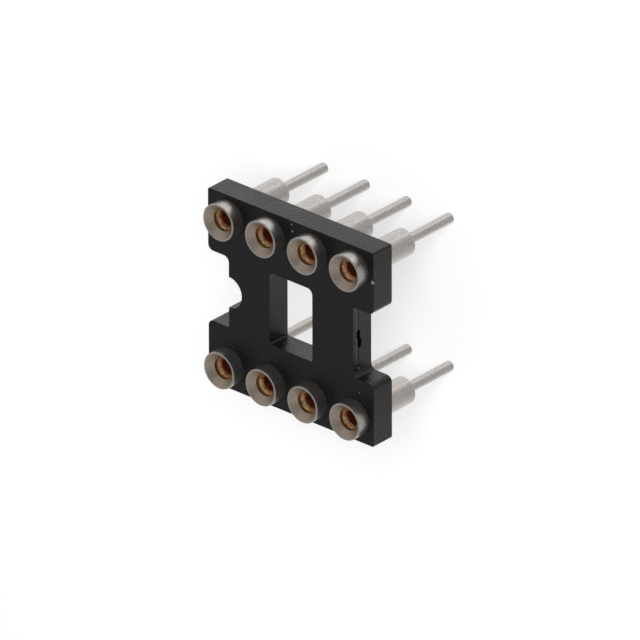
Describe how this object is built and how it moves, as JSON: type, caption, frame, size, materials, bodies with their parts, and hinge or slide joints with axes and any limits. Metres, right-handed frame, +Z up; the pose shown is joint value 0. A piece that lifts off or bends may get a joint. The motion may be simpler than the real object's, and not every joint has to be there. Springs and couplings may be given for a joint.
{
  "type": "ic socket",
  "caption": "Open-frame dual in-line chip socket: a notched plastic frame holds rows of turned contacts with gold-plated spring clips and solder tails.",
  "frame": {"origin": "centre of the contact pattern on the seating plane, where the sleeves' shoulders meet the board", "axes": "+Z up out of the contacts' mouths, +X along the rows away from the polarity notch, +Y towards the row of contacts 5 to 8"},
  "size_m": [0.01, 0.01, 0.0074],
  "materials": {
    "moulding": "matt black, glass-filled polyester",
    "tin_plate": "turned brass, plated with satin tin",
    "gold_plate": "beryllium copper strip, plated with gold"
  },
  "bodies": {
    "root": {"insulator": "moulding", "sleeve_1": "tin_plate", "sleeve_2": "tin_plate", "sleeve_3": "tin_plate", "sleeve_4": "tin_plate", "sleeve_5": "tin_plate", "sleeve_6": "tin_plate", "sleeve_7": "tin_plate", "sleeve_8": "tin_plate", "clip_1": "gold_plate", "clip_2": "gold_plate", "clip_3": "gold_plate", "clip_4": "gold_plate", "clip_5": "gold_plate", "clip_6": "gold_plate", "clip_7": "gold_plate", "clip_8": "gold_plate"}
  },
  "joints": []
}
